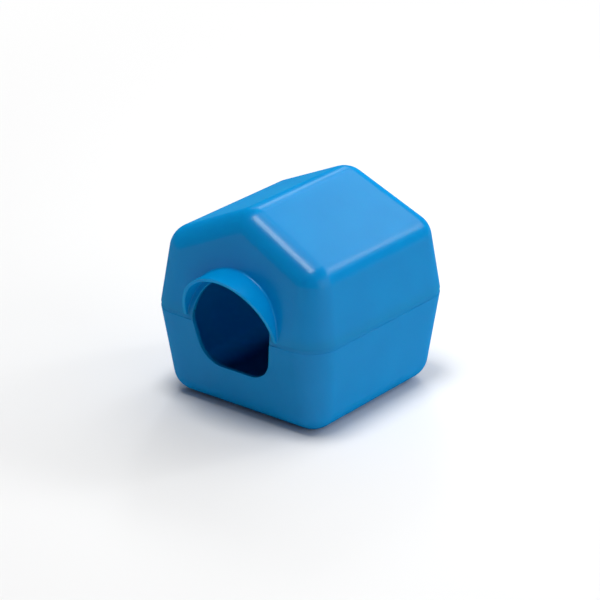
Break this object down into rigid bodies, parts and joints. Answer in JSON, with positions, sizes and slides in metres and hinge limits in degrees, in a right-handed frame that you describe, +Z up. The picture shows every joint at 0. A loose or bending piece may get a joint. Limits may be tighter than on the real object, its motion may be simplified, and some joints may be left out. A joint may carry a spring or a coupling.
{
  "type": "hamster house",
  "caption": "Small moulded-plastic pet house: a rounded tray with a floor and a gabled lift-off roof, with an arched doorway under a short hood.",
  "frame": {"origin": "middle of the tray's flat underside", "axes": "+Z up, -Y out of the doorway, +X to the right of a person who faces the doorway"},
  "size_m": [0.11, 0.1268, 0.1102],
  "materials": {
    "moulded_plastic": "satin-gloss moulded polypropylene, one even blue all through"
  },
  "bodies": {
    "tray": {"base_tray": "moulded_plastic"},
    "roof": {"roof_cover": "moulded_plastic"}
  },
  "joints": [
    {"name": "roof_lift", "type": "slide", "parent": "tray", "child": "roof", "axis": [0, 0, 1], "range_m": [0, 0.08]}
  ]
}
